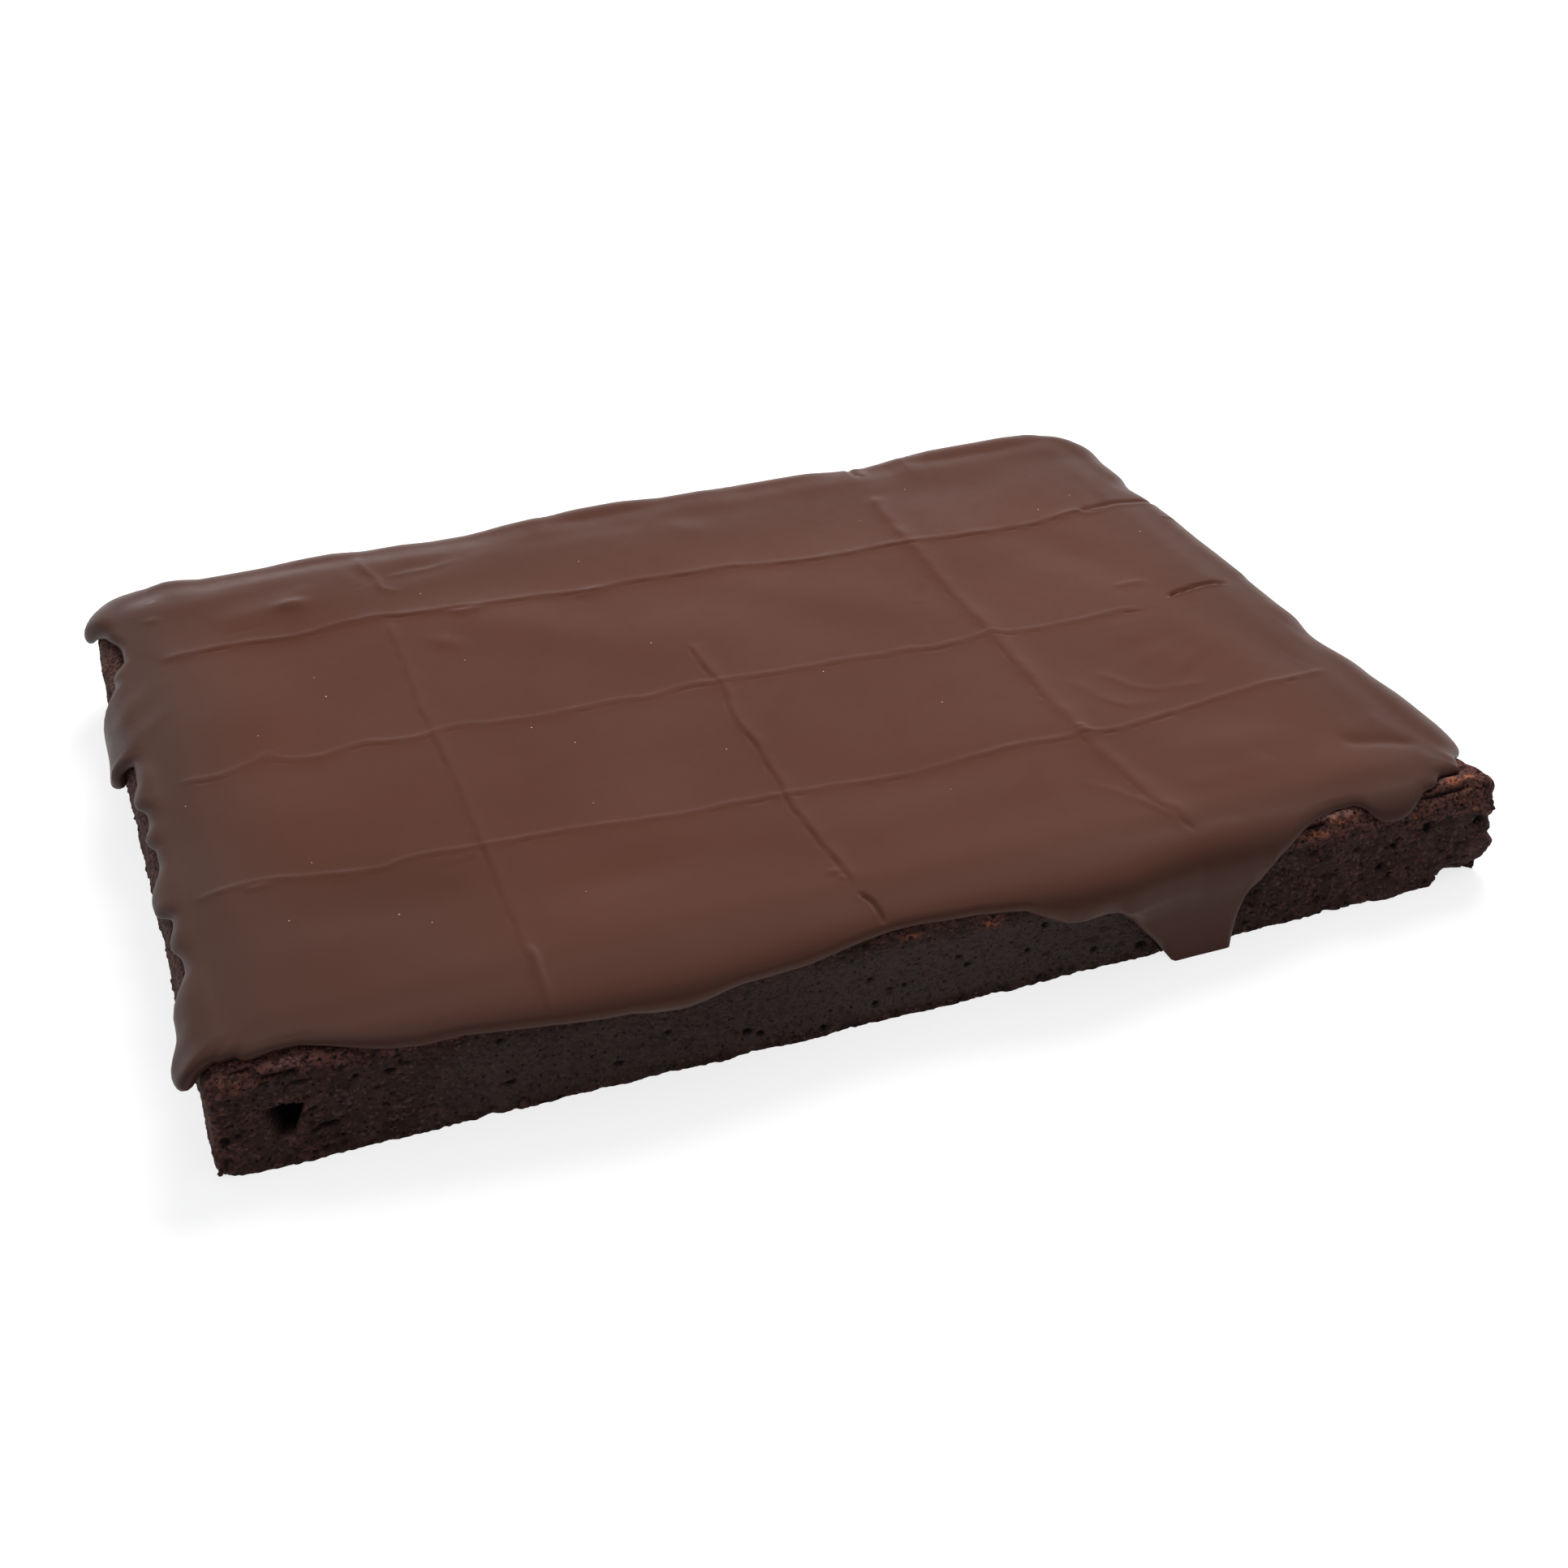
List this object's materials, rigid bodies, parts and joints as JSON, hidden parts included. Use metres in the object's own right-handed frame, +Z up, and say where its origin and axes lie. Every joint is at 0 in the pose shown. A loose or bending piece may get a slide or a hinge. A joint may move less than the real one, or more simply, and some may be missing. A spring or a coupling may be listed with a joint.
{
  "type": "glazed brownie tray bake",
  "caption": "Whole rectangular chocolate brownie slab, uncut, with a poured chocolate glaze that runs over its sides in rounded lobes and a long drip to the base.",
  "frame": {"origin": "middle of the flat underside", "axes": "+X along the long front edge, left to right as seen from the front; +Y to the back; +Z up out of the glazed top"},
  "size_m": [0.3104, 0.2187, 0.0294],
  "materials": {
    "crumb": "dark moist crumb with fine pores and a redder brown crust at the top edge",
    "chocolate_glaze": "smooth satin set chocolate"
  },
  "bodies": {
    "root": {"brownie": "crumb", "glaze": "chocolate_glaze"}
  },
  "joints": []
}
